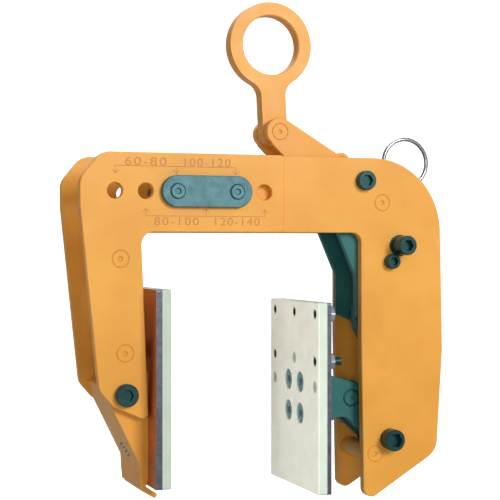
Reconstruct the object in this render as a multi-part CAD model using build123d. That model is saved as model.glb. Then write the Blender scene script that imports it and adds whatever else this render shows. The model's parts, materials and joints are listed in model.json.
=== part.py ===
from build123d import *
import math
import os

# Plate lifting clamp. Millimetres, +Z up, +X along the crossbar, +Y through the thickness.
# Every part is drawn from the datum, the centre of the first adjusting hole,
# then moved so that the centre of the lifting eye is the origin.
DATUM_X = -114.2
DATUM_Z = -100.5

# Frame plates
PLATE_T = 6.0
OUTER_FACE = 31.4
OUTER_INSIDE = OUTER_FACE - PLATE_T
INNER_FACE = OUTER_INSIDE
INNER_INSIDE = INNER_FACE - PLATE_T
BAR_TOP = 24.5
BAR_BOTTOM = -26.0
OUTER_BAR_END = 113.5
INNER_BAR_END = 29.0

# Adjusting holes and the plate that carries the two locking pins
HOLE_PITCH = 20.0
HOLE_COUNT = 6
HOLE_R = 5.1
LOCK_PIN_R = 5.02
LOCK_RIVET_R = 4.7
LOCK_HEAD_PROUD = 1.1
LOCK_X = (40.0, 80.0)
PIN_PLATE_T = 4.0
PIN_PLATE_HALF_HEIGHT = 10.2
LOCK_PIN_REACH = 35.0

# Pivots, as (x, z) from the datum
EAR = (117.2, 41.5)
EYE = (-DATUM_X, -DATUM_Z)
LEVER_PIVOT = (174.0, 9.2)
ARM_PIN = (184.0, -82.0)
CRANK_PIVOT = (192.5, -165.8)
PAD_PIVOT = (169.0, -138.2)
LEFT_PIVOT = (7.0, -128.8)
CATCH_PIVOT = (199.7, -34.5)
CATCH_STOP = (193.3, -45.3)
TAIL_PIN = (183.0, 18.6)
LEVER_SPACER = (162.0, 22.9)
WIRE_EYE = (216.2, 6.9)

# Riveted spacer rods
LEFT_RODS = ((3.6, -43.0), (6.5, -102.7))
RIGHT_RODS = (((187.0, -5.6), 5.5), ((181.7, -175.4), 6.4))
ROD_END_R = 5.5
ROD_BODY_R = 7.0
ROD_EDGE = 0.55
DIMPLE_R = 1.1
DIMPLE_DEPTH = 0.8

# Lifting ring
RING_T = 10.5
RING_OUTER_R = 28.8
EYE_R = 20.0
SHANK_W = 17.3
RING_FOOT_R = 9.0
RING_EDGE = 0.6
NECK_R = 11.0
EAR_PIN_R = 5.4
RUN = 0.05

# Lever and arm
EAR_INSIDE = 8.5
EAR_OUTSIDE = 14.5
EAR_R = 9.3
SPACER_BOSS_R = 5.6
ARM_INSIDE = 14.7
ARM_OUTSIDE = 18.7
ARM_PIN_R = 4.0

# Crank: lower link and upper fork in one piece
LINK_OUTSIDE = 9.0
LINK_WALL = 3.0
LINK_PAD_R = 12.0
LINK_HUB_R = 6.8
FORK_HALF_T = 4.0
SLOT_HALF = 4.65
FORK_WALL = 2.6
FORK_REACH = 92.0
FORK_FLOOR = 78.5

# Pads
PAD_W = 90.0
PAD_H = 125.4
RUBBER_T = 6.0
RIGHT_BACK_T = 3.0
LEFT_BACK_T = 4.0
PAD_NUT_T = 3.8
PAD_SCREW_R = 2.5
PAD_SCREW_RECESS = 3.2
PAD_BOLT_HEAD_R = 5.6
PAD_BOLT_RECESS = 6.8
PLUG_R = 3.6
PLUG_SUNK = 0.9
RIGHT_FACE_X = 132.5
RIGHT_TOP_Z = -72.0
LEFT_FACE_X = 33.0
LEFT_TOP_Z = -62.2
LONG_SCREW_PROUD = 9.6
LEFT_SCREW_END = 9.0
SCREW_SIDE = 37.0
BOLT_SIDE = 10.7
SCREW_DROPS = (7.6, 38.8)
PLUG_DROP = 55.6
BOLT_DROPS = (54.4, 75.6)

# Right pad bracket
BRACKET_INSIDE = 9.3
BRACKET_OUTSIDE = 14.3
BRACKET_BOSS = (154.5, -150.5)
BRACKET_BOSS_R = 2.6
PAD_PIN_R = 5.6
GROOVE_W = 0.5
GROOVE_DEPTH = 0.8

# Left pad bracket
LEFT_BRACKET_OUTSIDE = 25.0
LEFT_BRACKET_WALL = 3.0
FOOT_SCREWS = ((0.5, -164.9), (-2.8, -169.5))
FOOT_HEAD_R = 2.2
FOOT_HEAD_H = 1.5

# Screws
M6_R = 3.0
M6_HEAD_R = 5.0
M8_R = 4.0
M8_HEAD_R = 6.5
M10_R = 5.0
SMALL_CLEAR = 0.15


def slab(outline, y_from, y_to):
    """Solid with an outline in the XZ plane, between two values of y."""
    return extrude(Plane.XZ.offset(-y_to) * outline, amount=y_to - y_from)


def rod_y(centre, radius, y_from, y_to):
    """Cylinder along Y."""
    return slab(Pos(centre[0], centre[1]) * Circle(radius), y_from, y_to)


def rod_x(centre, radius, x_from, x_to):
    """Cylinder along X, with its centre given as (y, z)."""
    disc = Pos(centre[0], centre[1]) * Circle(radius)
    return extrude(Plane.YZ.offset(x_from) * disc, amount=x_to - x_from)


def hex_y(centre, across, y_from, y_to):
    """Hexagonal prism along Y."""
    outline = RegularPolygon(across / 2, 6, major_radius=False)
    return slab(Pos(centre[0], centre[1]) * outline, y_from, y_to)


def hex_x(centre, across, x_from, x_to):
    """Hexagonal prism along X."""
    outline = Pos(centre[0], centre[1]) * RegularPolygon(across / 2, 6, major_radius=False)
    return extrude(Plane.YZ.offset(x_from) * outline, amount=x_to - x_from)


def outline(corners):
    """Closed outline from (x, z, corner radius) points."""
    face = make_face(Polyline(*[(x, z) for x, z, _ in corners], close=True))
    for x, z, radius in corners:
        if radius:
            corner = face.vertices().sort_by_distance((x, z, 0))[0]
            face = fillet(corner, radius)
    return face


def tapered(first, first_r, second, second_r):
    """Two discs joined by their outer tangents."""
    run_x = second[0] - first[0]
    run_z = second[1] - first[1]
    length = math.hypot(run_x, run_z)
    heading = math.atan2(run_z, run_x)
    lean = math.acos((first_r - second_r) / length)
    ends = []
    for side in (1, -1):
        angle = heading + side * lean
        near = (first[0] + first_r * math.cos(angle), first[1] + first_r * math.sin(angle))
        far = (second[0] + second_r * math.cos(angle), second[1] + second_r * math.sin(angle))
        ends.append((near, far))
    middle = make_face(Polyline(ends[0][0], ends[0][1], ends[1][1], ends[1][0], close=True))
    return middle + Pos(*first) * Circle(first_r) + Pos(*second) * Circle(second_r)


def drill(solid, centres, radius):
    """Through holes along Y."""
    reach = 60.0
    for centre in centres:
        solid -= rod_y(centre, radius, -reach, reach)
    return solid


def left_outline():
    """Outline of an outer plate: crossbar with the left leg."""
    return outline([
        (-8.5, BAR_TOP, 12), (OUTER_BAR_END, BAR_TOP, 2), (OUTER_BAR_END, BAR_BOTTOM, 2),
        (16.8, BAR_BOTTOM, 8), (21.9, -146.2, 3.5), (-1.0, -136.0, 6),
        (-10.2, -125.5, 10), (-22.4, -9.0, 60), (-22.4, 7.6, 12),
    ])


def right_outline():
    """Outline of an inner plate: sliding crossbar with the right leg."""
    return outline([
        (INNER_BAR_END, BAR_TOP, 3), (229.8, BAR_TOP, 50), (232.4, -106.0, 60),
        (228.0, -175.6, 14), (173.6, -208.8, 6), (171.6, -95.0, 0),
        (171.6, BAR_BOTTOM, 6.5), (INNER_BAR_END, BAR_BOTTOM, 3),
    ])


def soften(solid, y, amount):
    """Small chamfer round the face at the given y."""
    edges = [e for e in solid.edges() if abs(e.bounding_box().min.Y - y) < 1e-4]
    edges = [e for e in edges if abs(e.bounding_box().max.Y - y) < 1e-4]
    return chamfer(edges, amount)


def left_plates():
    """Front and rear outer plates."""
    holes = [(index * HOLE_PITCH, 0.0) for index in range(HOLE_COUNT)]
    plates = []
    for side in (-1, 1):
        span = sorted((side * OUTER_INSIDE, side * OUTER_FACE))
        plate = slab(left_outline(), span[0], span[1])
        plate = drill(plate, holes, HOLE_R)
        plate = drill(plate, LEFT_RODS, ROD_END_R)
        plate = drill(plate, [LEFT_PIVOT], M8_R + SMALL_CLEAR)
        plates.append(soften(plate, side * OUTER_FACE, 0.5))
    return plates


def right_plates():
    """Front and rear inner plates."""
    plates = []
    for side in (-1, 1):
        span = sorted((side * INNER_INSIDE, side * INNER_FACE))
        plate = slab(right_outline(), span[0], span[1])
        plate = drill(plate, [(x, 0.0) for x in LOCK_X], HOLE_R)
        plate = drill(plate, [centre for centre, _ in RIGHT_RODS], ROD_END_R)
        plate = drill(plate, [LEVER_PIVOT, CATCH_PIVOT], M8_R + SMALL_CLEAR)
        plate = drill(plate, [CATCH_STOP], M6_R + SMALL_CLEAR)
        plate = drill(plate, [CRANK_PIVOT], M10_R + SMALL_CLEAR)
        plates.append(soften(plate, side * INNER_FACE, 0.5))
    return plates


def riveted_rod(centre, body_r, inside, face):
    """Spacer rod with reduced ends that finish flush with the plates."""
    rod = rod_y(centre, body_r, -inside, inside)
    rod += rod_y(centre, ROD_END_R, -face, face)
    for side in (-1, 1):
        tip = sorted((side * face, side * (face - DIMPLE_DEPTH)))
        rod -= rod_y(centre, DIMPLE_R, tip[0], tip[1])
        rod = soften(rod, side * face, ROD_EDGE)
    return rod


def left_spacers():
    """Spacer rods of the outer frame."""
    return [riveted_rod(centre, ROD_BODY_R, OUTER_INSIDE, OUTER_FACE) for centre in LEFT_RODS]


def right_spacers():
    """Spacer rods of the inner frame."""
    return [riveted_rod(centre, r, INNER_INSIDE, INNER_FACE) for centre, r in RIGHT_RODS]


def pin_plate():
    """Oblong plate that ties the two locking pins."""
    middle = (LOCK_X[0] + LOCK_X[1]) / 2
    shape = Pos(middle, 0) * SlotCenterToCenter(LOCK_X[1] - LOCK_X[0], 2 * PIN_PLATE_HALF_HEIGHT)
    plate = slab(shape, -OUTER_FACE - PIN_PLATE_T, -OUTER_FACE)
    plate = drill(plate, [(x, 0.0) for x in LOCK_X], LOCK_RIVET_R)
    return soften(plate, -OUTER_FACE - PIN_PLATE_T, 0.5)


def lock_pins():
    """Two locking pins, riveted into the pin plate with their ends proud of it."""
    pins = []
    outer = -OUTER_FACE - PIN_PLATE_T - LOCK_HEAD_PROUD
    for x in LOCK_X:
        pin = rod_y((x, 0.0), LOCK_RIVET_R, outer, -OUTER_FACE)
        pin += rod_y((x, 0.0), LOCK_PIN_R, -OUTER_FACE, LOCK_PIN_REACH)
        pin -= rod_y((x, 0.0), 1.6, outer, outer + 1.2)
        pin = soften(pin, LOCK_PIN_REACH, 1.2)
        pin = soften(pin, outer, 0.5)
        pins.append(pin)
    return pins


def lifting_ring():
    """Flat ring with a shank that hangs from the ear pin."""
    lean_x = EYE[0] - EAR[0]
    lean_z = EYE[1] - EAR[1]
    length = math.hypot(lean_x, lean_z)
    half = SHANK_W / 2
    join = length - math.sqrt(RING_OUTER_R ** 2 - half ** 2)
    shape = Pos(0, length) * Circle(RING_OUTER_R)
    shape += Pos(0, join / 2 + 4) * Rectangle(SHANK_W, join + 8)
    for side in (-1, 1):
        corner = shape.vertices().sort_by_distance((side * half, join, 0))[0]
        shape = fillet(corner, NECK_R)
    shape += Circle(RING_FOOT_R)
    shape -= Pos(0, length) * Circle(EYE_R)
    shape -= Circle(EAR_PIN_R + RUN)
    ring = slab(shape, -RING_T / 2, RING_T / 2)
    for side in (-1, 1):
        ring = soften_ring(ring, side * RING_T / 2)
    turn = math.degrees(math.atan2(lean_x, lean_z))
    return Pos(EAR[0], 0, EAR[1]) * (Rot(0, turn, 0) * ring)


def soften_ring(ring, y):
    """Rounded edge of the eye on the face at the given y."""
    picked = []
    for edge in ring.edges():
        box = edge.bounding_box()
        if abs(box.min.Y - y) > 1e-4 or abs(box.max.Y - y) > 1e-4:
            continue
        if abs(box.size.X - 2 * EYE_R) < 0.01 or abs(box.size.Z - 2 * EYE_R) < 0.01:
            picked.append(edge)
    return chamfer(picked, RING_EDGE)


def ring_pin():
    """Pin through the ears and the foot of the ring, flush outside."""
    pin = rod_y(EAR, EAR_PIN_R, -EAR_OUTSIDE, EAR_OUTSIDE)
    for side in (-1, 1):
        tip = sorted((side * EAR_OUTSIDE, side * (EAR_OUTSIDE - DIMPLE_DEPTH)))
        pin -= rod_y(EAR, DIMPLE_R, tip[0], tip[1])
        pin = soften(pin, side * EAR_OUTSIDE, 0.35)
    return pin


def ring_washers():
    """Spacer washers between the ring and the ears."""
    washers = []
    for side in (-1, 1):
        span = sorted((side * (RING_T / 2 + 0.1), side * EAR_INSIDE))
        washer = rod_y(EAR, EAR_R - 1.3, span[0], span[1])
        washers.append(washer - rod_y(EAR, EAR_PIN_R, span[0], span[1]))
    return washers


def lever_ears():
    """Front and rear plates of the lever, from the ring pin to the pivot."""
    body = outline([
        (111.2, 33.6, 0), (121.8, 49.6, 0), (166.0, 23.3, 3), (180.0, 21.4, 3),
        (186.5, 9.0, 4), (176.0, -2.8, 4), (145.5, 0.0, 14),
    ])
    body += Pos(*EAR) * Circle(EAR_R)
    body += Pos(*LEVER_PIVOT) * Circle(12.0)
    body += Pos(*LEVER_SPACER) * Circle(SPACER_BOSS_R)
    body += Pos(*TAIL_PIN) * Circle(5.8)
    plates = []
    for side in (-1, 1):
        span = sorted((side * EAR_INSIDE, side * EAR_OUTSIDE))
        plate = slab(body, span[0], span[1])
        plate = drill(plate, [EAR], EAR_PIN_R)
        plate = drill(plate, [LEVER_PIVOT], 6.0)
        plate = drill(plate, [TAIL_PIN], 3.0)
        plate = drill(plate, [LEVER_SPACER], 3.0)
        plates.append(soften(plate, side * EAR_OUTSIDE, 0.5))
    return plates


def lever_spacer():
    """Spacer rod between the two lever plates."""
    rod = rod_y(LEVER_SPACER, SPACER_BOSS_R, -EAR_INSIDE, EAR_INSIDE)
    return rod + rod_y(LEVER_SPACER, 3.0, -EAR_OUTSIDE, EAR_OUTSIDE)


def tail_pin():
    """Cross pin in the tail of the lever."""
    return rod_y(TAIL_PIN, 3.0, -EAR_OUTSIDE, EAR_OUTSIDE)


def lever_bush():
    """Bush through the lever plates and the arm, round the pivot bolt."""
    bush = rod_y(LEVER_PIVOT, 6.0, -ARM_OUTSIDE, ARM_OUTSIDE)
    return bush - rod_y(LEVER_PIVOT, M8_R + RUN, -ARM_OUTSIDE, ARM_OUTSIDE)


def arm_channel():
    """Channel arm of the lever, open towards the jaw."""
    side_shape = outline([
        (170.0, -93.0, 3), (170.0, -55.0, 14), (149.5, -8.0, 8), (150.5, 17.5, 8),
        (174.0, 20.0, 0), (177.0, -4.0, 0), (177.5, -22.0, 0), (181.5, -46.0, 0),
        (192.0, -76.0, 0), (184.0, -93.5, 0),
    ])
    side_shape += Pos(*LEVER_PIVOT) * Circle(11.2)
    side_shape += Pos(*ARM_PIN) * Circle(11.5)
    below = outline([
        (150.0, -97.0, 0), (150.0, -81.5, 0), (170.0, -82.9, 0), (175.0, -83.9, 0),
        (181.0, -86.6, 0), (187.0, -91.5, 0), (187.0, -97.0, 0),
    ])
    side_shape -= below
    arm = slab(side_shape, -ARM_OUTSIDE, -ARM_INSIDE)
    arm += slab(side_shape, ARM_INSIDE, ARM_OUTSIDE)
    web = outline([(173.4, -16.0, 0), (177.2, -16.0, 0), (180.6, -46.0, 0), (184.5, -58.0, 0),
                   (180.5, -58.0, 0), (176.8, -46.0, 0)])
    arm += slab(web, -ARM_INSIDE, ARM_INSIDE)
    arm = drill(arm, [LEVER_PIVOT], 6.0)
    arm = drill(arm, [ARM_PIN], ARM_PIN_R)
    for side in (-1, 1):
        arm = soften(arm, side * ARM_OUTSIDE, 0.5)
    return arm


def arm_pin():
    """Drive pin at the lower end of the arm."""
    return rod_y(ARM_PIN, ARM_PIN_R, -ARM_OUTSIDE, ARM_OUTSIDE)


def crank():
    """Lower link channel with the forked arm that the drive pin works."""
    heading = math.atan2(PAD_PIVOT[1] - CRANK_PIVOT[1], PAD_PIVOT[0] - CRANK_PIVOT[0])
    across = heading + math.pi / 2
    shift = 3.4
    link_shape = tapered(CRANK_PIVOT, LINK_HUB_R, PAD_PIVOT, LINK_PAD_R)
    pocket_shape = Pos(shift * math.cos(across), shift * math.sin(across)) * link_shape
    body = slab(link_shape, -LINK_OUTSIDE, LINK_OUTSIDE)
    inner = LINK_OUTSIDE - LINK_WALL
    body -= slab(pocket_shape, -inner, inner)
    body += rod_y(CRANK_PIVOT, LINK_HUB_R, -ARM_INSIDE, ARM_INSIDE)
    body += slab(fork_shape(), -FORK_HALF_T, FORK_HALF_T)
    body = drill(body, [PAD_PIVOT], PAD_PIN_R + RUN)
    return drill(body, [CRANK_PIVOT], M10_R + RUN)


def fork_shape():
    """Upright arm with an open slot that points at the drive pin."""
    run_x = ARM_PIN[0] - CRANK_PIVOT[0]
    run_z = ARM_PIN[1] - CRANK_PIVOT[1]
    turn = math.degrees(math.atan2(run_z, run_x)) - 90
    half_w = SLOT_HALF + FORK_WALL
    shape = outline([
        (-6.0, 0, 0), (-1.6, 40, 0), (-1.6, 62, 6), (-half_w, FORK_FLOOR - 4, 6),
        (-half_w, FORK_REACH, 3), (half_w, FORK_REACH, 3), (half_w, FORK_FLOOR - 6, 8),
        (9.5, 40, 0), (6.0, 0, 0),
    ])
    shape -= Pos(0, FORK_FLOOR + SLOT_HALF) * Circle(SLOT_HALF)
    slot_low = FORK_FLOOR + SLOT_HALF
    slot = Pos(0, (slot_low + FORK_REACH + 4) / 2) * Rectangle(2 * SLOT_HALF, FORK_REACH + 4 - slot_low)
    shape -= slot
    return Pos(*CRANK_PIVOT) * (Rot(0, 0, turn) * shape)


def socket_bolt(centre, shank_r, head_r, head_h, seat, nut_seat, hexagon):
    """Socket head bolt along Y, with its head on the front."""
    bolt = rod_y(centre, head_r, seat - head_h, seat)
    bolt += rod_y(centre, shank_r, seat, nut_seat)
    bolt -= hex_y(centre, hexagon, seat - head_h, seat - head_h * 0.45)
    return soften_head(bolt, seat - head_h, head_r, 0.6)


def soften_head(bolt, y, head_r, amount):
    """Chamfer on the rim of a bolt head or pin end."""
    rim = []
    for edge in bolt.edges():
        box = edge.bounding_box()
        if abs(box.min.Y - y) < 1e-4 and abs(box.max.Y - y) < 1e-4 and box.size.X > 1.9 * head_r:
            rim.append(edge)
    return chamfer(rim, amount)


def plain_nut(centre, across, bore_r, y_from, height):
    """Hexagon nut on the rear, with a domed rim."""
    nut = hex_y(centre, across, y_from, y_from + height)
    rim = rod_y(centre, across / 2 * 1.08, y_from - 1, y_from + height + 1)
    nut &= rim
    return nut - rod_y(centre, bore_r, y_from, y_from + height)


def lever_bolt():
    """Pivot bolt of the lever."""
    return socket_bolt(LEVER_PIVOT, M8_R, M8_HEAD_R, 5.0, -INNER_FACE, INNER_FACE + 9.5, 7.0)


def crank_bolt():
    """Pivot bolt of the crank."""
    return socket_bolt(CRANK_PIVOT, M10_R, 7.2, 9.5, -INNER_FACE, INNER_FACE + 10.5, 9.0)


def left_bolt():
    """Pivot bolt of the left pad bracket."""
    return socket_bolt(LEFT_PIVOT, M8_R, 7.2, 5.0, -OUTER_FACE, OUTER_FACE + 9.0, 7.0)


def catch_bolt():
    """Long bolt that carries the catch and stands proud on a collar."""
    seat = -INNER_FACE - 6.0
    return socket_bolt(CATCH_PIVOT, M8_R, M8_HEAD_R, 8.0, seat, INNER_FACE + 9.5, 7.0)


def catch_collar():
    """Stepped collar below the head of the catch bolt."""
    collar = rod_y(CATCH_PIVOT, 6.0, -INNER_FACE - 6.0, -INNER_FACE - 1.8)
    collar += rod_y(CATCH_PIVOT, 7.2, -INNER_FACE - 1.8, -INNER_FACE)
    return collar - rod_y(CATCH_PIVOT, M8_R + SMALL_CLEAR, -INNER_FACE - 6.0, -INNER_FACE)


def stop_bolt():
    """Small bolt beside the catch bolt."""
    return socket_bolt(CATCH_STOP, M6_R, M6_HEAD_R, 5.6, -INNER_FACE, INNER_FACE + 7.0, 5.5)


def pivot_nuts():
    """Nuts of the lever bolt, the catch bolt and the left pivot."""
    nuts = []
    for centre, face in ((LEVER_PIVOT, INNER_FACE), (CATCH_PIVOT, INNER_FACE), (LEFT_PIVOT, OUTER_FACE)):
        nuts.append(plain_nut(centre, 13.0, M8_R, face, 7.5))
    return nuts


def crank_nut():
    """Nut of the crank bolt."""
    return plain_nut(CRANK_PIVOT, 16.0, M10_R, INNER_FACE, 8.5)


def stop_nut():
    """Nut of the small bolt."""
    return plain_nut(CATCH_STOP, 10.0, M6_R, INNER_FACE, 5.5)


def catch():
    """Catch plate with a nose and a cross eye for the wire ring."""
    shape = Pos(*CATCH_PIVOT) * Circle(8.0)
    shape += outline([
        (193.6, -32.0, 0), (195.8, -8.0, 3), (190.2, 5.0, 2), (190.2, 17.0, 2), (196.0, 18.0, 3),
        (200.5, 4.0, 4), (215.0, 6.0, 0), (217.4, 6.0, 0), (217.4, -2.0, 4), (207.4, -33.0, 0),
    ])
    plate = slab(shape, -3.0, 3.0)
    plate += rod_x((0.0, WIRE_EYE[1]), 4.0, WIRE_EYE[0] - 1.9, WIRE_EYE[0] + 1.9)
    plate -= rod_x((0.0, WIRE_EYE[1]), 1.9, WIRE_EYE[0] - 6, WIRE_EYE[0] + 6)
    return drill(plate, [CATCH_PIVOT], M8_R + RUN)


def wire_ring():
    """Closed wire ring that pulls the catch."""
    mean_r = 16.5
    wire_r = 1.35
    ring = Rot(90, 0, 0) * Torus(mean_r, wire_r)
    return Pos(WIRE_EYE[0], 0, WIRE_EYE[1] + mean_r) * ring


def catch_spring():
    """Coil spring round the catch bolt, behind the catch."""
    pitch = 2.4
    height = 12.0
    coil_r = 5.6
    path = Helix(pitch=pitch, height=height, radius=coil_r)
    profile = Plane(origin=path @ 0, z_dir=path % 0) * Circle(0.7)
    coil = sweep(profile, path=path, is_frenet=True)
    return Pos(CATCH_PIVOT[0], 4.8 + height, CATCH_PIVOT[1]) * (Rot(90, 0, 0) * coil)


def screw_spots():
    """Small screws of a pad, as (y, drop from the top edge, long)."""
    spots = [(0.0, SCREW_DROPS[0], False)]
    for side in (-1, 1):
        spots.append((side * SCREW_SIDE, SCREW_DROPS[0], False))
        spots.append((side * SCREW_SIDE, SCREW_DROPS[1], True))
    return spots


def plug_spots():
    """Plain plugs of a pad, as (y, drop)."""
    return [(0.0, SCREW_DROPS[1]), (-SCREW_SIDE, PLUG_DROP), (SCREW_SIDE, PLUG_DROP)]


def bolt_spots():
    """Countersunk bolts of a pad, as (y, drop)."""
    return [(side * BOLT_SIDE, drop) for side in (-1, 1) for drop in BOLT_DROPS]


def pad_rubber():
    """Rubber facing with its face on x = 0 and its top edge on z = 0."""
    face = Pos(0, -PAD_H / 2) * RectangleRounded(PAD_W, PAD_H, 1.5)
    rubber = extrude(Plane.YZ * face, amount=RUBBER_T)
    for y, drop, _ in screw_spots():
        rubber -= rod_x((y, -drop), PAD_SCREW_RECESS, -1, 1.6)
        rubber -= rod_x((y, -drop), PAD_SCREW_R, 0, RUBBER_T)
    for y, drop in plug_spots():
        rubber -= rod_x((y, -drop), PLUG_R, -1, RUBBER_T)
    for y, drop in bolt_spots():
        rubber -= rod_x((y, -drop), PAD_BOLT_RECESS, -1, RUBBER_T)
    rim = [e for e in rubber.edges() if e.bounding_box().max.X < 1e-4 and e.length > 20]
    return chamfer(rim, 0.6)


def pad_back(thickness, screw_end):
    """Steel plate behind the rubber, with screw holes that end at the given depth."""
    face = Pos(0, -PAD_H / 2) * RectangleRounded(PAD_W, PAD_H, 1.0)
    back = extrude(Plane.YZ.offset(RUBBER_T) * face, amount=thickness)
    for y, drop, _ in screw_spots():
        back -= rod_x((y, -drop), PAD_SCREW_R, 0, screw_end)
    for y, drop in bolt_spots():
        back -= rod_x((y, -drop), M6_R, 0, 20)
    return back


def right_screws():
    """Small screws of the right pad. The long ones stand out behind their nuts."""
    back = RUBBER_T + RIGHT_BACK_T
    screws = []
    for y, drop, is_long in screw_spots():
        proud = LONG_SCREW_PROUD if is_long else PAD_NUT_T + 0.4
        screws.append(pad_screw(y, drop, back + proud))
    return screws


def left_screws():
    """Small screws of the left pad, ending inside the plate."""
    return [pad_screw(y, drop, LEFT_SCREW_END) for y, drop, _ in screw_spots()]


def pad_screw(y, drop, end):
    """Headless socket screw from the face of a pad to the given depth."""
    screw = rod_x((y, -drop), PAD_SCREW_R, 0.6, end)
    return screw - hex_x((y, -drop), 3.0, 0.6, 3.2)


def pad_nuts():
    """Thin nuts on the back of the small screws of the right pad."""
    nuts = []
    back = RUBBER_T + RIGHT_BACK_T
    for y, drop, _ in screw_spots():
        nut = hex_x((y, -drop), 10.0, back, back + PAD_NUT_T)
        nut &= rod_x((y, -drop), 5.45, back, back + PAD_NUT_T)
        nuts.append(nut - rod_x((y, -drop), PAD_SCREW_R, back, back + PAD_NUT_T))
    return nuts


def pad_plugs():
    """Rubber plugs in the spare holes."""
    return [rod_x((y, -drop), PLUG_R, PLUG_SUNK, RUBBER_T) for y, drop in plug_spots()]


def pad_bolts(thickness):
    """Large bolts with sunk heads that hold the pad on its bracket."""
    bolts = []
    back = RUBBER_T + thickness
    for y, drop in bolt_spots():
        bolt = rod_x((y, -drop), PAD_BOLT_HEAD_R, 0.9, RUBBER_T)
        bolt += rod_x((y, -drop), M6_R, RUBBER_T, back + 4.0)
        bolt -= hex_x((y, -drop), 5.0, 0.9, 4.0)
        bolts.append(bolt)
    return bolts


def on_right(shapes):
    """Moves pad parts to the right jaw."""
    return [Pos(RIGHT_FACE_X, 0, RIGHT_TOP_Z) * shape for shape in shapes]


def on_left(shapes):
    """Turns pad parts about and moves them to the left jaw."""
    return [Pos(LEFT_FACE_X, 0, LEFT_TOP_Z) * (Rot(0, 0, 180) * shape) for shape in shapes]


def right_bracket():
    """Two cheeks on a base, holding the pad pin."""
    back_x = RIGHT_FACE_X + RUBBER_T + RIGHT_BACK_T
    cheek = outline([
        (back_x, -118.2, 0), (177.0, -130.2, 3), (181.5, -136.0, 5), (181.5, -155.0, 4),
        (176.5, -160.5, 3), (165.7, -150.8, 2), (back_x, -150.8, 0),
    ])
    body = slab(cheek, -BRACKET_OUTSIDE, -BRACKET_INSIDE)
    body += slab(cheek, BRACKET_INSIDE, BRACKET_OUTSIDE)
    base = outline([
        (back_x, -117.0, 0), (back_x + 4, -119.0, 0), (back_x + 4, -153.0, 0), (back_x, -155.0, 0),
    ])
    body += slab(base, -17.0, 17.0)
    body += rod_y(BRACKET_BOSS, BRACKET_BOSS_R, -BRACKET_OUTSIDE, -BRACKET_INSIDE)
    body += rod_y(BRACKET_BOSS, BRACKET_BOSS_R, BRACKET_INSIDE, BRACKET_OUTSIDE)
    for y, drop in bolt_spots():
        body -= rod_x((y, RIGHT_TOP_Z - drop), M6_R, back_x - 1, back_x + 5)
    for side in (-1, 1):
        groove = sorted((side * BRACKET_OUTSIDE, side * (BRACKET_OUTSIDE - GROOVE_DEPTH)))
        body -= rod_y(PAD_PIVOT, PAD_PIN_R + GROOVE_W, groove[0], groove[1])
    return drill(body, [PAD_PIVOT], PAD_PIN_R)


def pad_pin():
    """Pin that joins the pad bracket and the crank, flush outside."""
    pin = rod_y(PAD_PIVOT, PAD_PIN_R, -BRACKET_OUTSIDE, BRACKET_OUTSIDE)
    for side in (-1, 1):
        tip = sorted((side * BRACKET_OUTSIDE, side * (BRACKET_OUTSIDE - DIMPLE_DEPTH)))
        pin -= rod_y(PAD_PIVOT, DIMPLE_R, tip[0], tip[1])
        pin = soften_head(pin, side * BRACKET_OUTSIDE, PAD_PIN_R, 0.9)
    return pin


def left_bracket():
    """Bent bracket of the left pad, with a foot lip at the bottom."""
    back_x = LEFT_FACE_X - RUBBER_T - LEFT_BACK_T
    wall = LEFT_BRACKET_WALL
    out = LEFT_BRACKET_OUTSIDE
    side_shape = outline([
        (back_x, -117.0, 0), (2.0, -117.0, 8), (-6.0, -124.0, 6), (-0.6, -137.0, 8),
        (17.4, -173.5, 0), (18.6, -190.0, 0), (back_x - 0.4, -187.0, 0), (back_x, -183.0, 0),
    ])
    body = slab(side_shape, -out, -out + wall)
    body += slab(side_shape, out - wall, out)
    web = outline([
        (-5.6, -124.0, 0), (-0.6, -137.0, 8), (17.4, -173.5, 4), (18.6, -190.0, 0),
        (18.6 + wall, -189.0, 0), (17.4 + wall, -172.8, 4), (-0.6 + wall, -136.2, 8),
        (-5.6 + wall, -122.8, 0),
    ])
    body += slab(web, -out, out)
    lip = outline([
        (18.4, -187.6, 0), (21.5, -187.6, 0), (21.6, -188.8, 0), (29.4, -193.4, 1),
        (27.6, -196.2, 1), (18.6, -190.8, 1),
    ])
    body += slab(lip, -out, out - 7.0)
    base = outline([
        (back_x, -115.0, 0), (back_x, -180.0, 0), (back_x - 4, -176.0, 0), (back_x - 4, -115.0, 0),
    ])
    body += slab(base, -out, out)
    for y, drop in bolt_spots():
        body -= rod_x((y, LEFT_TOP_Z - drop), M6_R, back_x - 5, back_x + 1)
    return drill(body, [LEFT_PIVOT], M8_R + RUN)


def foot_screws():
    """Two small screws on the sloping back of the left bracket."""
    screws = []
    slope = math.degrees(math.atan2(18.0, 36.5))
    for y, z in FOOT_SCREWS:
        x = -0.6 + (-137.0 - z) * 18.0 / 36.5
        head = Cylinder(FOOT_HEAD_R, FOOT_HEAD_H, align=(Align.CENTER, Align.CENTER, Align.MIN))
        head = chamfer(head.edges().group_by(Axis.Z)[-1], 0.5)
        head -= Pos(0, 0, FOOT_HEAD_H) * Box(0.6, 3.0, 0.8)
        screws.append(Pos(x, y, z) * (Rot(0, 270 - slope, 0) * head))
    return screws


def place(shapes):
    """Moves shapes from the datum to the lifting eye."""
    moved = [Pos(DATUM_X, 0, DATUM_Z) * shape for shape in shapes]
    if len(moved) == 1:
        return moved[0]
    return Compound(children=moved)


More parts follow.
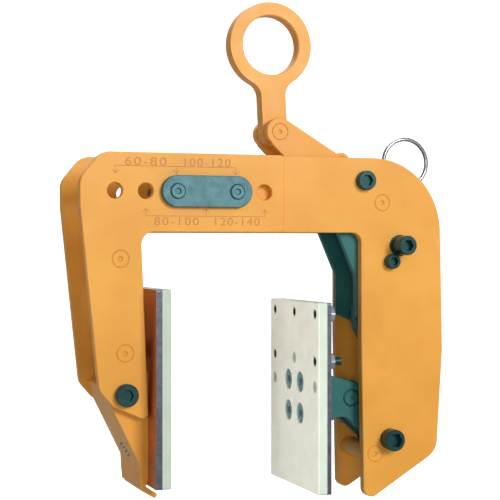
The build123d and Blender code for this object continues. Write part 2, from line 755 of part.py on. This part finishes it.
def clamp_parts():
    """Every node of the clamp, by name."""
    left_front, left_rear = left_plates()
    right_front, right_rear = right_plates()
    ear_front, ear_rear = lever_ears()
    parts = {
        "left_plate_front": [left_front],
        "left_plate_rear": [left_rear],
        "right_plate_front": [right_front],
        "right_plate_rear": [right_rear],
        "left_spacer_rods": left_spacers(),
        "right_spacer_rods": right_spacers(),
        "pin_plate": [pin_plate()],
        "lock_pins": lock_pins(),
        "lifting_ring": [lifting_ring()],
        "ring_pin": [ring_pin()],
        "ring_washers": ring_washers(),
        "lever_plate_front": [ear_front],
        "lever_plate_rear": [ear_rear],
        "lever_spacer": [lever_spacer()],
        "lever_tail_pin": [tail_pin()],
        "lever_bush": [lever_bush()],
        "lever_arm": [arm_channel()],
        "arm_drive_pin": [arm_pin()],
        "crank": [crank()],
        "lever_bolt": [lever_bolt()],
        "crank_bolt": [crank_bolt()],
        "left_pivot_bolt": [left_bolt()],
        "catch_bolt": [catch_bolt()],
        "catch_collar": [catch_collar()],
        "stop_bolt": [stop_bolt()],
        "m8_nuts": pivot_nuts(),
        "crank_nut": [crank_nut()],
        "stop_nut": [stop_nut()],
        "catch": [catch()],
        "pull_ring": [wire_ring()],
        "catch_spring": [catch_spring()],
        "right_pad_rubber": on_right([pad_rubber()]),
        "right_pad_plate": on_right([pad_back(RIGHT_BACK_T, RUBBER_T + RIGHT_BACK_T)]),
        "right_pad_screws": on_right(right_screws()),
        "right_pad_nuts": on_right(pad_nuts()),
        "right_pad_plugs": on_right(pad_plugs()),
        "right_pad_bolts": on_right(pad_bolts(RIGHT_BACK_T)),
        "right_pad_bracket": [right_bracket()],
        "pad_pin": [pad_pin()],
        "left_pad_rubber": on_left([pad_rubber()]),
        "left_pad_plate": on_left([pad_back(LEFT_BACK_T, LEFT_SCREW_END)]),
        "left_pad_screws": on_left(left_screws()),
        "left_pad_plugs": on_left(pad_plugs()),
        "left_pad_bolts": on_left(pad_bolts(LEFT_BACK_T)),
        "left_pad_bracket": [left_bracket()],
        "foot_screws": foot_screws(),
    }
    return parts


os.makedirs("parts", exist_ok=True)
for name, shapes in clamp_parts().items():
    export_step(place(shapes), f"parts/{name}.step")
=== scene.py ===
import json
import math

import bpy
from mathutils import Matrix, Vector


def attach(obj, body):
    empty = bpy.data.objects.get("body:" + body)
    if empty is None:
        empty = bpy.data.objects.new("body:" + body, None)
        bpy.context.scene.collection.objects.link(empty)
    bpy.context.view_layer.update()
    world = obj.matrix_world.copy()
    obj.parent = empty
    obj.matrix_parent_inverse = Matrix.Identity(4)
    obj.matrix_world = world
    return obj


# Looks of the plate lifting clamp: procedural paint, plating, rubber, scale marks, light and camera.
# Lengths are in metres, in the frame of the CAD row: origin at the lifting eye, +Z up.

# Engraved scale on the front plate
FRONT_FACE_Y = -0.0314
HOLE_ROW_Z = -0.1005
FIRST_HOLE_X = -0.1142
HOLE_PITCH = 0.020
MARK_DEPTH = 0.00006
MARK_WIDTH = 0.00045
MARK_LEVEL = 0.0158
MARK_TIP_GAP = 0.0112
MARK_BARB = 0.0022
FIGURE_SIZE = 0.0074
FIGURE_SPACING = 1.2
UPPER_FIGURES_Z = 0.0162
LOWER_FIGURES_Z = -0.0217

# Camera, floor and light
CAMERA_AT = (-0.3221, -0.8716, -0.13585)
CAMERA_TURN = math.radians(-19.511)
CAMERA_LENS = 98.81
CAMERA_SHIFT_Y = -0.0066
SENSOR_WIDTH = 36.0
FLOOR_Z = -0.345
FLOOR_NEAR_Y = -3.0
FLOOR_BEND_Y = 2.2
FLOOR_BEND_R = 1.2
FLOOR_BEND_STEPS = 16
FLOOR_HALF_WIDTH = 4.0
BACKDROP_TOP_Z = 5.0
WORLD_LIGHT = 0.24

# Dark rings of painted shade in the grooves round the pad pin
PAD_PIN_AT = (0.0548, -0.2387)
PIN_GROOVE_SHADE_R = 0.00586
PIN_GROOVE_SHADE_WIRE_R = 0.00026
PIN_GROOVE_SHADE_Y = 0.01402
JAW_FACE_NODES = ("right_pad_rubber", "right_pad_plugs", "right_pad_bolts", "right_pad_screws")

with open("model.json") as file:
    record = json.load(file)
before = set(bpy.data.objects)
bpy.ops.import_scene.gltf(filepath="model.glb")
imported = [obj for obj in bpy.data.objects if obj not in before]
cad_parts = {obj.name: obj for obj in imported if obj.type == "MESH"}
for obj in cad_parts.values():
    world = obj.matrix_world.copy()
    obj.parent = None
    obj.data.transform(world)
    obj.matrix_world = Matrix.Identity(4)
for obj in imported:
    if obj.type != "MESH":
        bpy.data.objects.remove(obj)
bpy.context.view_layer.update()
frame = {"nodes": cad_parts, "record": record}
nodes = frame["nodes"]


def tree_of(material):
    """Node tree of a material, with its principled shader."""
    material.use_nodes = True
    tree = material.node_tree
    return tree, tree.nodes["Principled BSDF"]


def coordinates(tree):
    """Object coordinates, which are metres in the row frame."""
    return tree.nodes.new("ShaderNodeTexCoord").outputs["Object"]


def noise(tree, scale, detail=3.0, roughness=0.5, stretch=None):
    """Noise value, with an optional stretch along each axis."""
    texture = tree.nodes.new("ShaderNodeTexNoise")
    texture.inputs["Scale"].default_value = scale
    texture.inputs["Detail"].default_value = detail
    texture.inputs["Roughness"].default_value = roughness
    source = coordinates(tree)
    if stretch:
        mapping = tree.nodes.new("ShaderNodeMapping")
        mapping.inputs["Scale"].default_value = stretch
        tree.links.new(source, mapping.inputs["Vector"])
        source = mapping.outputs["Vector"]
    tree.links.new(source, texture.inputs["Vector"])
    return texture.outputs["Fac"]


def ramp(tree, value, low, high, first, last):
    """Maps a value to a colour or grey between two stops."""
    node = tree.nodes.new("ShaderNodeValToRGB")
    node.color_ramp.elements[0].position = low
    node.color_ramp.elements[1].position = high
    node.color_ramp.elements[0].color = first
    node.color_ramp.elements[1].color = last
    tree.links.new(value, node.inputs["Fac"])
    return node.outputs["Color"]


def grey(level):
    """Opaque grey."""
    return (level, level, level, 1.0)


def mix(tree, factor, first, second, mode="MIX"):
    """Mixes two colours. Each may be a socket or a fixed colour."""
    node = tree.nodes.new("ShaderNodeMix")
    node.data_type = "RGBA"
    node.blend_type = mode
    for socket, value in ((node.inputs[0], factor), (node.inputs[6], first), (node.inputs[7], second)):
        if isinstance(value, bpy.types.NodeSocket):
            tree.links.new(value, socket)
        else:
            socket.default_value = value
    return node.outputs[2]


def bump(tree, shader, height, strength, distance):
    """Adds a bump from a height to the shader."""
    node = tree.nodes.new("ShaderNodeBump")
    node.inputs["Strength"].default_value = strength
    node.inputs["Distance"].default_value = distance
    tree.links.new(height, node.inputs["Height"])
    tree.links.new(node.outputs["Normal"], shader.inputs["Normal"])


def edge_mask(tree, radius, low, high):
    """White on sharp edges, black on flat faces."""
    bevel = tree.nodes.new("ShaderNodeBevel")
    bevel.samples = 4
    bevel.inputs["Radius"].default_value = radius
    geometry = tree.nodes.new("ShaderNodeNewGeometry")
    dot = tree.nodes.new("ShaderNodeVectorMath")
    dot.operation = "DOT_PRODUCT"
    tree.links.new(bevel.outputs["Normal"], dot.inputs[0])
    tree.links.new(geometry.outputs["Normal"], dot.inputs[1])
    return ramp(tree, dot.outputs["Value"], low, high, grey(1.0), grey(0.0))


def facing_x(tree):
    """One on faces square to the X axis, zero on faces along it."""
    axes = tree.nodes.new("ShaderNodeSeparateXYZ")
    tree.links.new(tree.nodes.new("ShaderNodeTexCoord").outputs["Normal"], axes.inputs["Vector"])
    across = tree.nodes.new("ShaderNodeMath")
    across.operation = "ABSOLUTE"
    tree.links.new(axes.outputs["X"], across.inputs[0])
    return across.outputs["Value"]


def paint(name, colour, wear_and_edge_shading, gloss=0.36):
    """Powder paint: faint mottling, orange peel, small scuffs, and thin edges in a second colour. Where
    that colour is lighter, the edges are worn paint and a painted highlight; where it is darker, they are
    painted shade round rims and grooves.
    """
    material = bpy.data.materials.new(name)
    tree, shader = tree_of(material)
    dark = (colour[0] * 0.93, colour[1] * 0.90, colour[2] * 0.86, 1.0)
    light = (min(1.0, colour[0] * 1.04), min(1.0, colour[1] * 1.06), min(1.0, colour[2] * 1.12), 1.0)
    base = ramp(tree, noise(tree, 22.0, 4.0), 0.35, 0.68, dark, light)
    scuff = ramp(tree, noise(tree, 260.0, 6.0, 0.62), 0.69, 0.74, grey(0.0), grey(0.45))
    # Sharp edges take the second colour: worn paint with a painted highlight when it is light, painted
    # shade when it is dark.
    edges = edge_mask(tree, 0.0005, 0.80, 0.985)
    broken = mix(tree, 1.0, edges, ramp(tree, noise(tree, 340.0, 4.0), 0.42, 0.60, grey(0.15), grey(0.9)),
                 "MULTIPLY")
    base = mix(tree, broken, base, wear_and_edge_shading)
    base = mix(tree, scuff, base, wear_and_edge_shading)
    tree.links.new(base, shader.inputs["Base Color"])
    rough = ramp(tree, noise(tree, 90.0, 5.0), 0.3, 0.7, grey(gloss - 0.05), grey(gloss + 0.09))
    tree.links.new(rough, shader.inputs["Roughness"])
    shader.inputs["Specular IOR Level"].default_value = 0.34
    bump(tree, shader, noise(tree, 1500.0, 2.0), 0.10, 0.0002)
    return material


def plated(name, colour, metallic, low_rough, high_rough, streak):
    """Plated or blackened steel with fine lines, cloudy plating and a painted highlight on its sharp edges.
    """
    material = bpy.data.materials.new(name)
    tree, shader = tree_of(material)
    dark = (colour[0] * 0.72, colour[1] * 0.74, colour[2] * 0.78, 1.0)
    light = (min(1.0, colour[0] * 1.18), min(1.0, colour[1] * 1.16), min(1.0, colour[2] * 1.14), 1.0)
    cloud = ramp(tree, noise(tree, 150.0, 5.0, 0.6), 0.34, 0.68, dark, light)
    # Painted highlight: sharp edges mixed towards the lighter colour.
    edges = edge_mask(tree, 0.0004, 0.82, 0.985)
    base = mix(tree, edges, cloud, light)
    tree.links.new(base, shader.inputs["Base Color"])
    shader.inputs["Metallic"].default_value = metallic
    lines = noise(tree, 700.0, 3.0, 0.6, streak)
    rough = ramp(tree, lines, 0.3, 0.7, grey(low_rough), grey(high_rough))
    tree.links.new(rough, shader.inputs["Roughness"])
    bump(tree, shader, lines, 0.16, 0.0001)
    return material


def rubber(name, face, side, dust):
    """Matt moulded rubber with speckle and faint dust. Faces square to the X axis take the face colour and
    the others the darker, greener side colour: painted light on the gripping face and painted shade on the
    cut sides.
    """
    material = bpy.data.materials.new(name)
    tree, shader = tree_of(material)
    # Painted light and shade: light colour on faces square to X, darker colour on the sides.
    tone = ramp(tree, facing_x(tree), 0.6, 0.8, side, face)
    cloud = ramp(tree, noise(tree, 60.0, 5.0, 0.6), 0.30, 0.62, grey(0.90), grey(1.0))
    base = mix(tree, 1.0, tone, cloud, "MULTIPLY")
    speck = ramp(tree, noise(tree, 900.0, 2.0), 0.66, 0.72, grey(0.0), grey(0.35))
    base = mix(tree, speck, base, dust)
    tree.links.new(base, shader.inputs["Base Color"])
    rough = ramp(tree, noise(tree, 120.0, 3.0), 0.3, 0.7, grey(0.62), grey(0.82))
    tree.links.new(rough, shader.inputs["Roughness"])
    bump(tree, shader, noise(tree, 2400.0, 3.0), 0.22, 0.00015)
    return material


def steel_with_painted_reflection(name, edge, face):
    """Rolled steel with a painted reflection of the orange frame on its broad faces, which are warmer and
    brighter than its cut edges.
    """
    material = plated(name, edge, 0.85, 0.22, 0.44, (1, 1, 4))
    tree, shader = tree_of(material)
    is_face = ramp(tree, facing_x(tree), 0.6, 0.8, grey(0.0), grey(1.0))
    cloud = ramp(tree, noise(tree, 45.0, 5.0, 0.6), 0.32, 0.68, grey(0.72), grey(1.0))
    # Painted reflection of the orange frame on the faces square to X.
    broad = mix(tree, 1.0, face, cloud, "MULTIPLY")
    plain = shader.inputs["Base Color"].links[0].from_socket
    tree.links.new(mix(tree, is_face, plain, broad), shader.inputs["Base Color"])
    return material


def marks_material(name):
    """Darker paint for the engraved scale: painted shade at the bottom of the engraving."""
    material = bpy.data.materials.new(name)
    tree, shader = tree_of(material)
    base = ramp(tree, noise(tree, 500.0, 3.0), 0.3, 0.7, (0.50, 0.20, 0.045, 1.0), (0.62, 0.26, 0.055, 1.0))
    tree.links.new(base, shader.inputs["Base Color"])
    shader.inputs["Roughness"].default_value = 0.6
    return material


MATERIALS = {
    "orange_paint": paint("orange_paint", (0.83, 0.378, 0.052, 1.0), (0.90, 0.52, 0.18, 1.0)),
    # The groove-shade paints darken the rims of riveted ends: painted shade in the grooves there.
    "orange_groove_shade": paint("orange_groove_shade", (0.83, 0.378, 0.052, 1.0), (0.20, 0.075, 0.012, 1.0)),
    "green_groove_shade": paint("green_groove_shade", (0.020, 0.145, 0.142, 1.0), (0.003, 0.020, 0.020, 1.0), 0.42),
    "seam_shadow": paint("seam_shadow", (0.004, 0.026, 0.026, 1.0), (0.008, 0.045, 0.045, 1.0), 0.6),
    "bright_plate": plated("bright_plate", (0.20, 0.36, 0.37, 1.0), 0.6, 0.30, 0.46, (1, 1, 1)),
    "green_paint": paint("green_paint", (0.020, 0.145, 0.142, 1.0), (0.09, 0.26, 0.25, 1.0), 0.42),
    "plated_grey": plated("plated_grey", (0.062, 0.165, 0.182, 1.0), 0.40, 0.36, 0.52, (1, 1, 1)),
    "dark_bolt_steel": plated("dark_bolt_steel", (0.008, 0.060, 0.058, 1.0), 0.50, 0.28, 0.44, (1, 1, 1)),
    "pad_steel": plated("pad_steel", (0.14, 0.155, 0.19, 1.0), 0.85, 0.22, 0.44, (1, 1, 4)),
    # The left pad plate: its broad faces carry a painted reflection of the orange frame.
    "orange_reflection_steel": steel_with_painted_reflection("orange_reflection_steel", (0.14, 0.155, 0.19, 1.0), (0.56, 0.22, 0.09, 1.0)),
    "zinc_steel": plated("zinc_steel", (0.50, 0.54, 0.60, 1.0), 1.0, 0.24, 0.46, (1, 1, 4)),
    "pale_rubber": rubber(
        "pale_rubber", (0.93, 0.92, 0.81, 1.0), (0.56, 0.65, 0.54, 1.0), (0.58, 0.57, 0.50, 1.0)),
    "grey_rubber": rubber(
        "grey_rubber", (0.40, 0.42, 0.36, 1.0), (0.34, 0.38, 0.33, 1.0), (0.30, 0.31, 0.27, 1.0)),
    "bronze": plated("bronze", (0.52, 0.33, 0.14, 1.0), 1.0, 0.28, 0.46, (1, 1, 1)),
    "bright_wire": plated("bright_wire", (0.40, 0.42, 0.42, 1.0), 1.0, 0.16, 0.28, (1, 1, 1)),
}


# Riveted ends show a dark ring of painted shade in the grooves round them, the left pad plate carries a
# painted reflection of the orange frame, and the sunk bolt heads are brighter than the pin plate.
LOOKS = {
    "left_spacer_rods": "orange_groove_shade",
    "right_spacer_rods": "orange_groove_shade",
    "ring_pin": "orange_groove_shade",
    "pad_pin": "green_groove_shade",
    "right_pad_bolts": "bright_plate",
    "left_pad_bolts": "bright_plate",
    "left_pad_plate": "orange_reflection_steel",
}


def dress_nodes():
    """Gives every CAD node its material: its own look where it has one, or that of its slot."""
    for part in frame["record"]["subparts"]:
        node = nodes[part["node"]]
        look = LOOKS.get(part["node"], part["material_slot"])
        node.data.materials.clear()
        node.data.materials.append(MATERIALS[look])


def mark_bar(x_from, z_from, x_to, z_to):
    """Corners of one straight stroke, a thin closed bar that shows at the surface of the front plate."""
    start = Vector((x_from, 0, z_from))
    end = Vector((x_to, 0, z_to))
    along = (end - start).normalized()
    across = Vector((-along.z, 0, along.x)) * MARK_WIDTH / 2
    corners = [start - across, end - across, end + across, start + across]
    levels = (FRONT_FACE_Y - MARK_DEPTH, FRONT_FACE_Y + MARK_DEPTH)
    return [(FIRST_HOLE_X + c.x, y, HOLE_ROW_Z + c.z) for y in levels for c in corners]


def scale_strokes():
    """Brackets and arrows that tie each pair of holes to its jaw range."""
    strokes = []
    upper = [0.0, 2 * HOLE_PITCH, 4 * HOLE_PITCH]
    lower = [HOLE_PITCH, 3 * HOLE_PITCH, 5 * HOLE_PITCH]
    for level, xs, side in ((MARK_LEVEL, upper, 1), (-MARK_LEVEL, lower, -1)):
        strokes.append((xs[0], level, xs[-1], level))
        tip = side * MARK_TIP_GAP
        for x in xs:
            strokes.append((x, level, x, tip))
            strokes.append((x, tip, x - MARK_BARB, tip + side * MARK_BARB))
            strokes.append((x, tip, x + MARK_BARB, tip + side * MARK_BARB))
    return strokes


def build_scale(material):
    """Mesh of all engraved strokes."""
    points = []
    faces = []
    for stroke in scale_strokes():
        first = len(points)
        points.extend(mark_bar(*stroke))
        faces.append((first, first + 1, first + 2, first + 3))
        faces.append((first + 7, first + 6, first + 5, first + 4))
        for side in range(4):
            after = (side + 1) % 4
            faces.append((first + after, first + side, first + 4 + side, first + 4 + after))
    mesh = bpy.data.meshes.new("scale_strokes")
    mesh.from_pydata(points, [], faces)
    marks = bpy.data.objects.new("scale_strokes", mesh)
    bpy.context.scene.collection.objects.link(marks)
    mesh.materials.append(material)
    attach(marks, "frame")


def build_number(text, x, z, width, material):
    """One jaw range in plain figures, stretched to a width, on the front plate."""
    curve = bpy.data.curves.new("range_" + text, "FONT")
    curve.body = text
    curve.size = FIGURE_SIZE
    curve.space_character = FIGURE_SPACING
    curve.align_x = "CENTER"
    curve.extrude = MARK_DEPTH
    label = bpy.data.objects.new("range_" + text, curve)
    bpy.context.scene.collection.objects.link(label)
    bpy.context.view_layer.objects.active = label
    label.select_set(True)
    bpy.ops.object.convert(target="MESH")
    label.select_set(False)
    label.rotation_euler = (math.pi / 2, 0, 0)
    label.location = (FIRST_HOLE_X + x, FRONT_FACE_Y, HOLE_ROW_Z + z)
    label.scale.x = width / label.dimensions.x
    label.data.materials.append(material)
    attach(label, "frame")


def build_pin_groove_shade():
    """Dark closed rings of painted shade in the grooves round the two ends of the pad pin."""
    for name, side in (("pin_groove_shade_front", -1), ("pin_groove_shade_rear", 1)):
        bpy.ops.mesh.primitive_torus_add(
            major_radius=PIN_GROOVE_SHADE_R, minor_radius=PIN_GROOVE_SHADE_WIRE_R, major_segments=48, minor_segments=8,
            location=(PAD_PIN_AT[0], side * PIN_GROOVE_SHADE_Y, PAD_PIN_AT[1]), rotation=(math.pi / 2, 0, 0))
        seam = bpy.context.object
        seam.name = name
        seam.data.materials.append(MATERIALS["seam_shadow"])
        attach(seam, "right_pad")


def build_marks():
    """Scale beside the adjusting holes."""
    material = marks_material("engraved_marks")
    build_scale(material)
    build_number("60-80", 0.0198, UPPER_FIGURES_Z, 0.0272, material)
    build_number("100-120", 0.0602, UPPER_FIGURES_Z, 0.0310, material)
    build_number("80-100", 0.0402, LOWER_FIGURES_Z, 0.0295, material)
    build_number("120-140", 0.0805, LOWER_FIGURES_Z, 0.0305, material)


def build_floor():
    """Plain floor that rises into a backdrop, white to the camera and greyer for the light it returns."""
    profile = [(FLOOR_NEAR_Y, FLOOR_Z), (FLOOR_BEND_Y, FLOOR_Z)]
    for index in range(1, FLOOR_BEND_STEPS + 1):
        angle = index / FLOOR_BEND_STEPS * math.pi / 2
        y = FLOOR_BEND_Y + FLOOR_BEND_R * math.sin(angle)
        profile.append((y, FLOOR_Z + FLOOR_BEND_R * (1 - math.cos(angle))))
    profile.append((FLOOR_BEND_Y + FLOOR_BEND_R, BACKDROP_TOP_Z))
    points = []
    faces = []
    for side in (-FLOOR_HALF_WIDTH, FLOOR_HALF_WIDTH):
        points.extend([(side, y, z) for y, z in profile])
    count = len(profile)
    for index in range(count - 1):
        faces.append((index, index + 1, count + index + 1, count + index))
    mesh = bpy.data.meshes.new("studio_floor")
    mesh.from_pydata(points, [], faces)
    floor = bpy.data.objects.new("studio_floor", mesh)
    bpy.context.scene.collection.objects.link(floor)
    for polygon in mesh.polygons:
        polygon.use_smooth = True
    material = bpy.data.materials.new("studio_floor")
    tree, shader = tree_of(material)
    tone = ramp(tree, noise(tree, 1.5, 2.0), 0.3, 0.7, (0.44, 0.44, 0.44, 1.0), (0.47, 0.47, 0.465, 1.0))
    tree.links.new(tone, shader.inputs["Base Color"])
    shader.inputs["Roughness"].default_value = 0.9
    path = tree.nodes.new("ShaderNodeLightPath")
    tree.links.new(path.outputs["Is Camera Ray"], shader.inputs["Emission Strength"])
    shader.inputs["Emission Color"].default_value = (1.0, 1.0, 1.0, 1.0)
    mesh.materials.append(material)


def area_light(name, place, target, size, power, tint=(1, 1, 1)):
    """Soft square light that looks at a point. Returns its object."""
    data = bpy.data.lights.new(name, "AREA")
    data.shape = "SQUARE"
    data.size = size
    data.energy = power
    data.color = tint
    light = bpy.data.objects.new(name, data)
    light.location = place
    light.rotation_euler = (Vector(target) - Vector(place)).to_track_quat("-Z", "Y").to_euler()
    bpy.context.scene.collection.objects.link(light)
    return light


def only_on(light, names):
    """Limits a light to some CAD nodes, as a flag does in a studio."""
    lit = bpy.data.collections.new(light.name + "_targets")
    for name in names:
        lit.objects.link(nodes[name])
    light.light_linking.receiver_collection = lit


def build_lights():
    """Front key and fill, flagged light for the jaw face, weak side, top and back light, backdrop wash."""
    middle = (0.0, 0.0, -0.15)
    area_light("key", (0.60, -2.1, 0.60), middle, 0.8, 33.0)
    area_light("fill", (-0.75, -2.0, -0.05), middle, 0.6, 7.5)
    jaw_light = area_light("jaw_light", (-1.45, -1.3, 0.0), middle, 0.9, 23.0)
    only_on(jaw_light, JAW_FACE_NODES)
    area_light("side", (-1.9, -0.4, 0.3), middle, 0.9, 2.0)
    area_light("top", (0.1, 0.3, 1.6), middle, 1.0, 7.0)
    area_light("back", (0.5, 1.8, 0.7), middle, 1.6, 9.0)
    area_light("backdrop_wash", (0.0, 1.2, 2.2), (0.0, 3.0, 0.2), 2.5, 30.0)


def build_world():
    """Even surround, white to the camera and weaker as light."""
    world = bpy.data.worlds.new("studio")
    bpy.context.scene.world = world
    world.use_nodes = True
    tree = world.node_tree
    background = tree.nodes["Background"]
    path = tree.nodes.new("ShaderNodeLightPath")
    level = tree.nodes.new("ShaderNodeMapRange")
    level.inputs["To Min"].default_value = WORLD_LIGHT
    level.inputs["To Max"].default_value = 1.0
    tree.links.new(path.outputs["Is Camera Ray"], level.inputs["Value"])
    tree.links.new(level.outputs["Result"], background.inputs["Strength"])
    background.inputs["Color"].default_value = (1.0, 1.0, 1.0, 1.0)


def set_colour_view():
    """Plain display colours, with no filmic curve."""
    bpy.context.scene.view_settings.view_transform = "Standard"
    bpy.context.scene.view_settings.look = "None"


def build_camera():
    """Camera level with the jaws, to the left of the front."""
    data = bpy.data.cameras.new("camera")
    data.lens = CAMERA_LENS
    data.sensor_width = SENSOR_WIDTH
    data.shift_y = CAMERA_SHIFT_Y
    data.clip_start = 0.01
    camera = bpy.data.objects.new("camera", data)
    camera.location = CAMERA_AT
    camera.rotation_euler = (math.pi / 2, 0, CAMERA_TURN)
    bpy.context.scene.collection.objects.link(camera)
    bpy.context.scene.camera = camera


dress_nodes()
build_marks()
build_pin_groove_shade()
build_floor()
build_lights()
build_world()
build_camera()
set_colour_view()
